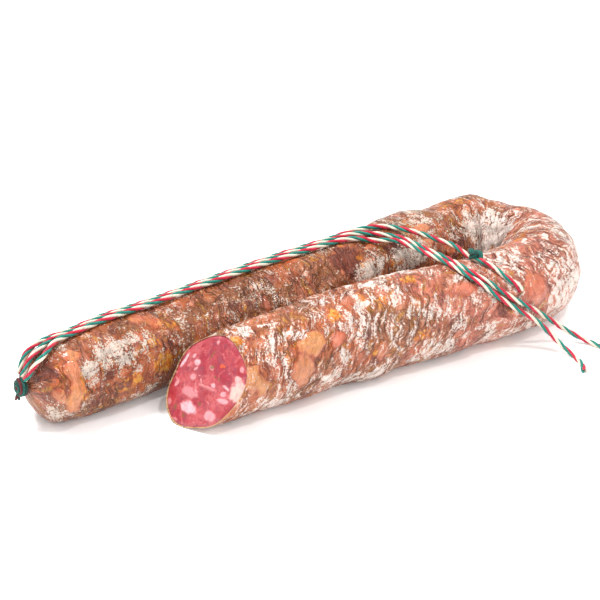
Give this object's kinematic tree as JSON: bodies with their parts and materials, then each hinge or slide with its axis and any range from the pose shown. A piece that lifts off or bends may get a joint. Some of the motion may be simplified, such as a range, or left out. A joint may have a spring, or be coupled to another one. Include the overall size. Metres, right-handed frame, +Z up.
{
  "type": "cured sausage",
  "caption": "Dry-cured sausage bent double into a horseshoe, one end gathered and tied with twine, the other cut on a slant, with loose strands of twine lying over it.",
  "frame": {"origin": "on the table, below the middle of the sausage's bounding box", "axes": "+Z up from the table, +X towards the bend, +Y towards the tied leg"},
  "size_m": [0.2493, 0.1124, 0.0387],
  "materials": {
    "casing": "dry natural casing, brown to terracotta over orange fat, dusted with white mould, slightly glossy where bare",
    "cut_meat": "moist red cured meat with pink-white fat, on the slanted cut",
    "twine": "matt cotton twine of a red, a green and a cream ply",
    "tie_twine": "matt cotton twine wound tight, mostly its green ply showing"
  },
  "bodies": {
    "root": {"sausage": "casing", "end_tie": "tie_twine", "strand_knot": "tie_twine", "twine_back": "twine", "twine_tail": "twine", "twine_middle": "twine", "twine_front": "twine"}
  },
  "joints": []
}
